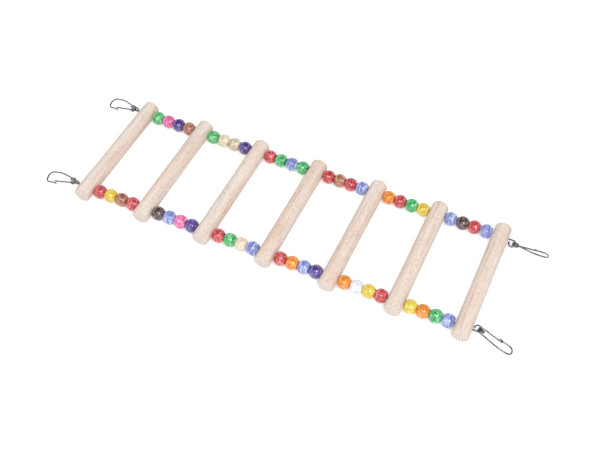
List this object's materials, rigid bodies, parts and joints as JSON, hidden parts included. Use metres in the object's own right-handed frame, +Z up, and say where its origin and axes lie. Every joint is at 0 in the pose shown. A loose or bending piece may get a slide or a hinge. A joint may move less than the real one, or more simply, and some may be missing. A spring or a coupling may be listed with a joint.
{
  "type": "bird ladder",
  "caption": "Cage ladder of round wooden rungs on two wires, with painted wooden beads between the rungs and a wire snap hook at each corner.",
  "frame": {"origin": "on the floor under the middle of the ladder, where it rests on its rungs", "axes": "+X along the ladder towards the right end, +Y along the rungs to the far side, +Z up out of the ladder's plane"},
  "size_m": [0.4148, 0.12, 0.014],
  "materials": {
    "dowel_wood": "bare sanded beech or birch dowel, pale pinkish cream",
    "bead_green": "glossy paint over a turned wooden bead",
    "bead_pink": "glossy paint over a turned wooden bead",
    "bead_purple": "glossy paint over a turned wooden bead",
    "bead_brown": "glossy paint over a turned wooden bead",
    "bead_cream": "clear lacquer over bare wood",
    "bead_red": "glossy paint over a turned wooden bead",
    "bead_blue": "glossy paint over a turned wooden bead",
    "bead_orange": "glossy paint over a turned wooden bead",
    "bead_yellow": "glossy paint over a turned wooden bead",
    "bead_umber": "glossy paint over a turned wooden bead",
    "bead_white": "glossy paint over a turned wooden bead",
    "core_wire_steel": "bright drawn wire",
    "spring_wire_steel": "bright plated spring wire"
  },
  "bodies": {
    "ladder": {"rung_1": "dowel_wood", "rung_2": "dowel_wood", "rung_3": "dowel_wood", "rung_4": "dowel_wood", "rung_5": "dowel_wood", "rung_6": "dowel_wood", "rung_7": "dowel_wood", "core_wire_far": "core_wire_steel", "core_wire_near": "core_wire_steel"},
    "hook_far_left": {"hook_frame_far_left": "spring_wire_steel"},
    "hook_near_left": {"hook_frame_near_left": "spring_wire_steel"},
    "hook_far_right": {"hook_frame_far_right": "spring_wire_steel"},
    "hook_near_right": {"hook_frame_near_right": "spring_wire_steel"},
    "gate_far_left": {"hook_gate_far_left": "spring_wire_steel"},
    "gate_near_left": {"hook_gate_near_left": "spring_wire_steel"},
    "gate_far_right": {"hook_gate_far_right": "spring_wire_steel"},
    "gate_near_right": {"hook_gate_near_right": "spring_wire_steel"},
    "bead_far_1_1": {"bead_far_1_1": "bead_green"},
    "bead_far_1_2": {"bead_far_1_2": "bead_pink"},
    "bead_far_1_3": {"bead_far_1_3": "bead_purple"},
    "bead_far_1_4": {"bead_far_1_4": "bead_brown"},
    "bead_far_2_1": {"bead_far_2_1": "bead_green"},
    "beads_far_2_2_3": {"beads_far_2_2_3": "bead_cream"},
    "bead_far_2_4": {"bead_far_2_4": "bead_purple"},
    "bead_far_3_1": {"bead_far_3_1": "bead_red"},
    "bead_far_3_2": {"bead_far_3_2": "bead_green"},
    "bead_far_3_3": {"bead_far_3_3": "bead_blue"},
    "bead_far_3_4": {"bead_far_3_4": "bead_green"},
    "bead_far_4_1": {"bead_far_4_1": "bead_red"},
    "beads_far_4_2_3": {"beads_far_4_2_3": "bead_brown"},
    "bead_far_4_4": {"bead_far_4_4": "bead_blue"},
    "bead_far_5_1": {"bead_far_5_1": "bead_orange"},
    "bead_far_5_2": {"bead_far_5_2": "bead_red"},
    "bead_far_5_3": {"bead_far_5_3": "bead_green"},
    "bead_far_5_4": {"bead_far_5_4": "bead_yellow"},
    "bead_far_6_1": {"bead_far_6_1": "bead_blue"},
    "bead_far_6_2": {"bead_far_6_2": "bead_umber"},
    "bead_far_6_3": {"bead_far_6_3": "bead_red"},
    "bead_far_6_4": {"bead_far_6_4": "bead_blue"},
    "bead_near_1_1": {"bead_near_1_1": "bead_red"},
    "beads_near_1_2_3": {"beads_near_1_2_3": "bead_yellow"},
    "bead_near_1_4": {"bead_near_1_4": "bead_red"},
    "bead_near_2_1": {"bead_near_2_1": "bead_umber"},
    "bead_near_2_2": {"bead_near_2_2": "bead_blue"},
    "bead_near_2_3": {"bead_near_2_3": "bead_pink"},
    "bead_near_2_4": {"bead_near_2_4": "bead_purple"},
    "bead_near_3_1": {"bead_near_3_1": "bead_red"},
    "beads_near_3_2_3": {"beads_near_3_2_3": "bead_green"},
    "bead_near_3_4": {"bead_near_3_4": "bead_blue"},
    "bead_near_4_1": {"bead_near_4_1": "bead_red"},
    "bead_near_4_2": {"bead_near_4_2": "bead_orange"},
    "bead_near_4_3": {"bead_near_4_3": "bead_blue"},
    "bead_near_4_4": {"bead_near_4_4": "bead_purple"},
    "bead_near_5_1": {"bead_near_5_1": "bead_orange"},
    "beads_near_5_2_3": {"beads_near_5_2_3": "bead_white"},
    "bead_near_5_4": {"bead_near_5_4": "bead_red"},
    "bead_near_6_1": {"bead_near_6_1": "bead_yellow"},
    "bead_near_6_2": {"bead_near_6_2": "bead_orange"},
    "bead_near_6_3": {"bead_near_6_3": "bead_green"},
    "bead_near_6_4": {"bead_near_6_4": "bead_blue"}
  },
  "joints": [
    {"name": "hook_swing_far_left", "type": "hinge", "parent": "ladder", "child": "hook_far_left", "pos_m": [-0.17936, 0.04956, 0.00893], "axis": [-0.3069, -0.2141, 0.9274], "range_deg": [-75, 75]},
    {"name": "hook_swing_near_left", "type": "hinge", "parent": "ladder", "child": "hook_near_left", "pos_m": [-0.17938, -0.05046, 0.00899], "axis": [-0.2824, -0.2158, 0.9347], "range_deg": [-75, 75]},
    {"name": "hook_swing_far_right", "type": "hinge", "parent": "ladder", "child": "hook_far_right", "pos_m": [0.1795, 0.04738, 0.00583], "axis": [-0.0077, -0.9135, -0.4067], "range_deg": [-75, 75]},
    {"name": "hook_swing_near_right", "type": "hinge", "parent": "ladder", "child": "hook_near_right", "pos_m": [0.17938, -0.04941, 0.00893], "axis": [0.2929, 0.2795, 0.9144], "range_deg": [-75, 75]},
    {"name": "gate_flex_far_left", "type": "hinge", "parent": "hook_far_left", "child": "gate_far_left", "pos_m": [-0.17936, 0.04956, 0.00893], "axis": [0.3069, 0.2141, -0.9274], "range_deg": [0, 20], "stiffness_Nm_per_rad": 0.02, "springref_deg": -5.16},
    {"name": "gate_flex_near_left", "type": "hinge", "parent": "hook_near_left", "child": "gate_near_left", "pos_m": [-0.17938, -0.05046, 0.00899], "axis": [0.2824, 0.2158, -0.9347], "range_deg": [0, 20], "stiffness_Nm_per_rad": 0.02, "springref_deg": -5.16},
    {"name": "gate_flex_far_right", "type": "hinge", "parent": "hook_far_right", "child": "gate_far_right", "pos_m": [0.1795, 0.04738, 0.00583], "axis": [0.0077, 0.9135, 0.4067], "range_deg": [0, 20], "stiffness_Nm_per_rad": 0.02, "springref_deg": -5.16},
    {"name": "gate_flex_near_right", "type": "hinge", "parent": "hook_near_right", "child": "gate_near_right", "pos_m": [0.17938, -0.04941, 0.00893], "axis": [-0.2929, -0.2795, -0.9144], "range_deg": [0, 20], "stiffness_Nm_per_rad": 0.02, "springref_deg": -5.16},
    {"name": "bead_far_1_1_spin", "type": "hinge", "parent": "ladder", "child": "bead_far_1_1", "pos_m": [-0.1535, 0.05, 0.007], "axis": [1, 0, 0], "continuous": true},
    {"name": "bead_far_1_2_spin", "type": "hinge", "parent": "ladder", "child": "bead_far_1_2", "pos_m": [-0.14325, 0.05, 0.007], "axis": [1, 0, 0], "continuous": true},
    {"name": "bead_far_1_3_spin", "type": "hinge", "parent": "ladder", "child": "bead_far_1_3", "pos_m": [-0.133, 0.05, 0.007], "axis": [1, 0, 0], "continuous": true},
    {"name": "bead_far_1_4_spin", "type": "hinge", "parent": "ladder", "child": "bead_far_1_4", "pos_m": [-0.12275, 0.05, 0.007], "axis": [1, 0, 0], "continuous": true},
    {"name": "bead_far_2_1_spin", "type": "hinge", "parent": "ladder", "child": "bead_far_2_1", "pos_m": [-0.09825, 0.05, 0.007], "axis": [1, 0, 0], "continuous": true},
    {"name": "beads_far_2_2_3_spin", "type": "hinge", "parent": "ladder", "child": "beads_far_2_2_3", "pos_m": [-0.08288, 0.05, 0.007], "axis": [1, 0, 0], "continuous": true},
    {"name": "bead_far_2_4_spin", "type": "hinge", "parent": "ladder", "child": "bead_far_2_4", "pos_m": [-0.0675, 0.05, 0.007], "axis": [1, 0, 0], "continuous": true},
    {"name": "bead_far_3_1_spin", "type": "hinge", "parent": "ladder", "child": "bead_far_3_1", "pos_m": [-0.043, 0.05, 0.007], "axis": [1, 0, 0], "continuous": true},
    {"name": "bead_far_3_2_spin", "type": "hinge", "parent": "ladder", "child": "bead_far_3_2", "pos_m": [-0.03275, 0.05, 0.007], "axis": [1, 0, 0], "continuous": true},
    {"name": "bead_far_3_3_spin", "type": "hinge", "parent": "ladder", "child": "bead_far_3_3", "pos_m": [-0.0225, 0.05, 0.007], "axis": [1, 0, 0], "continuous": true},
    {"name": "bead_far_3_4_spin", "type": "hinge", "parent": "ladder", "child": "bead_far_3_4", "pos_m": [-0.01225, 0.05, 0.007], "axis": [1, 0, 0], "continuous": true},
    {"name": "bead_far_4_1_spin", "type": "hinge", "parent": "ladder", "child": "bead_far_4_1", "pos_m": [0.01225, 0.05, 0.007], "axis": [1, 0, 0], "continuous": true},
    {"name": "beads_far_4_2_3_spin", "type": "hinge", "parent": "ladder", "child": "beads_far_4_2_3", "pos_m": [0.02763, 0.05, 0.007], "axis": [1, 0, 0], "continuous": true},
    {"name": "bead_far_4_4_spin", "type": "hinge", "parent": "ladder", "child": "bead_far_4_4", "pos_m": [0.043, 0.05, 0.007], "axis": [1, 0, 0], "continuous": true},
    {"name": "bead_far_5_1_spin", "type": "hinge", "parent": "ladder", "child": "bead_far_5_1", "pos_m": [0.0675, 0.05, 0.007], "axis": [1, 0, 0], "continuous": true},
    {"name": "bead_far_5_2_spin", "type": "hinge", "parent": "ladder", "child": "bead_far_5_2", "pos_m": [0.07775, 0.05, 0.007], "axis": [1, 0, 0], "continuous": true},
    {"name": "bead_far_5_3_spin", "type": "hinge", "parent": "ladder", "child": "bead_far_5_3", "pos_m": [0.088, 0.05, 0.007], "axis": [1, 0, 0], "continuous": true},
    {"name": "bead_far_5_4_spin", "type": "hinge", "parent": "ladder", "child": "bead_far_5_4", "pos_m": [0.09825, 0.05, 0.007], "axis": [1, 0, 0], "continuous": true},
    {"name": "bead_far_6_1_spin", "type": "hinge", "parent": "ladder", "child": "bead_far_6_1", "pos_m": [0.12275, 0.05, 0.007], "axis": [1, 0, 0], "continuous": true},
    {"name": "bead_far_6_2_spin", "type": "hinge", "parent": "ladder", "child": "bead_far_6_2", "pos_m": [0.133, 0.05, 0.007], "axis": [1, 0, 0], "continuous": true},
    {"name": "bead_far_6_3_spin", "type": "hinge", "parent": "ladder", "child": "bead_far_6_3", "pos_m": [0.14325, 0.05, 0.007], "axis": [1, 0, 0], "continuous": true},
    {"name": "bead_far_6_4_spin", "type": "hinge", "parent": "ladder", "child": "bead_far_6_4", "pos_m": [0.1535, 0.05, 0.007], "axis": [1, 0, 0], "continuous": true},
    {"name": "bead_near_1_1_spin", "type": "hinge", "parent": "ladder", "child": "bead_near_1_1", "pos_m": [-0.1535, -0.05, 0.007], "axis": [1, 0, 0], "continuous": true},
    {"name": "beads_near_1_2_3_spin", "type": "hinge", "parent": "ladder", "child": "beads_near_1_2_3", "pos_m": [-0.13812, -0.05, 0.007], "axis": [1, 0, 0], "continuous": true},
    {"name": "bead_near_1_4_spin", "type": "hinge", "parent": "ladder", "child": "bead_near_1_4", "pos_m": [-0.12275, -0.05, 0.007], "axis": [1, 0, 0], "continuous": true},
    {"name": "bead_near_2_1_spin", "type": "hinge", "parent": "ladder", "child": "bead_near_2_1", "pos_m": [-0.09825, -0.05, 0.007], "axis": [1, 0, 0], "continuous": true},
    {"name": "bead_near_2_2_spin", "type": "hinge", "parent": "ladder", "child": "bead_near_2_2", "pos_m": [-0.088, -0.05, 0.007], "axis": [1, 0, 0], "continuous": true},
    {"name": "bead_near_2_3_spin", "type": "hinge", "parent": "ladder", "child": "bead_near_2_3", "pos_m": [-0.07775, -0.05, 0.007], "axis": [1, 0, 0], "continuous": true},
    {"name": "bead_near_2_4_spin", "type": "hinge", "parent": "ladder", "child": "bead_near_2_4", "pos_m": [-0.0675, -0.05, 0.007], "axis": [1, 0, 0], "continuous": true},
    {"name": "bead_near_3_1_spin", "type": "hinge", "parent": "ladder", "child": "bead_near_3_1", "pos_m": [-0.043, -0.05, 0.007], "axis": [1, 0, 0], "continuous": true},
    {"name": "beads_near_3_2_3_spin", "type": "hinge", "parent": "ladder", "child": "beads_near_3_2_3", "pos_m": [-0.02763, -0.05, 0.007], "axis": [1, 0, 0], "continuous": true},
    {"name": "bead_near_3_4_spin", "type": "hinge", "parent": "ladder", "child": "bead_near_3_4", "pos_m": [-0.01225, -0.05, 0.007], "axis": [1, 0, 0], "continuous": true},
    {"name": "bead_near_4_1_spin", "type": "hinge", "parent": "ladder", "child": "bead_near_4_1", "pos_m": [0.01225, -0.05, 0.007], "axis": [1, 0, 0], "continuous": true},
    {"name": "bead_near_4_2_spin", "type": "hinge", "parent": "ladder", "child": "bead_near_4_2", "pos_m": [0.0225, -0.05, 0.007], "axis": [1, 0, 0], "continuous": true},
    {"name": "bead_near_4_3_spin", "type": "hinge", "parent": "ladder", "child": "bead_near_4_3", "pos_m": [0.03275, -0.05, 0.007], "axis": [1, 0, 0], "continuous": true},
    {"name": "bead_near_4_4_spin", "type": "hinge", "parent": "ladder", "child": "bead_near_4_4", "pos_m": [0.043, -0.05, 0.007], "axis": [1, 0, 0], "continuous": true},
    {"name": "bead_near_5_1_spin", "type": "hinge", "parent": "ladder", "child": "bead_near_5_1", "pos_m": [0.0675, -0.05, 0.007], "axis": [1, 0, 0], "continuous": true},
    {"name": "beads_near_5_2_3_spin", "type": "hinge", "parent": "ladder", "child": "beads_near_5_2_3", "pos_m": [0.08288, -0.05, 0.007], "axis": [1, 0, 0], "continuous": true},
    {"name": "bead_near_5_4_spin", "type": "hinge", "parent": "ladder", "child": "bead_near_5_4", "pos_m": [0.09825, -0.05, 0.007], "axis": [1, 0, 0], "continuous": true},
    {"name": "bead_near_6_1_spin", "type": "hinge", "parent": "ladder", "child": "bead_near_6_1", "pos_m": [0.12275, -0.05, 0.007], "axis": [1, 0, 0], "continuous": true},
    {"name": "bead_near_6_2_spin", "type": "hinge", "parent": "ladder", "child": "bead_near_6_2", "pos_m": [0.133, -0.05, 0.007], "axis": [1, 0, 0], "continuous": true},
    {"name": "bead_near_6_3_spin", "type": "hinge", "parent": "ladder", "child": "bead_near_6_3", "pos_m": [0.14325, -0.05, 0.007], "axis": [1, 0, 0], "continuous": true},
    {"name": "bead_near_6_4_spin", "type": "hinge", "parent": "ladder", "child": "bead_near_6_4", "pos_m": [0.1535, -0.05, 0.007], "axis": [1, 0, 0], "continuous": true}
  ]
}
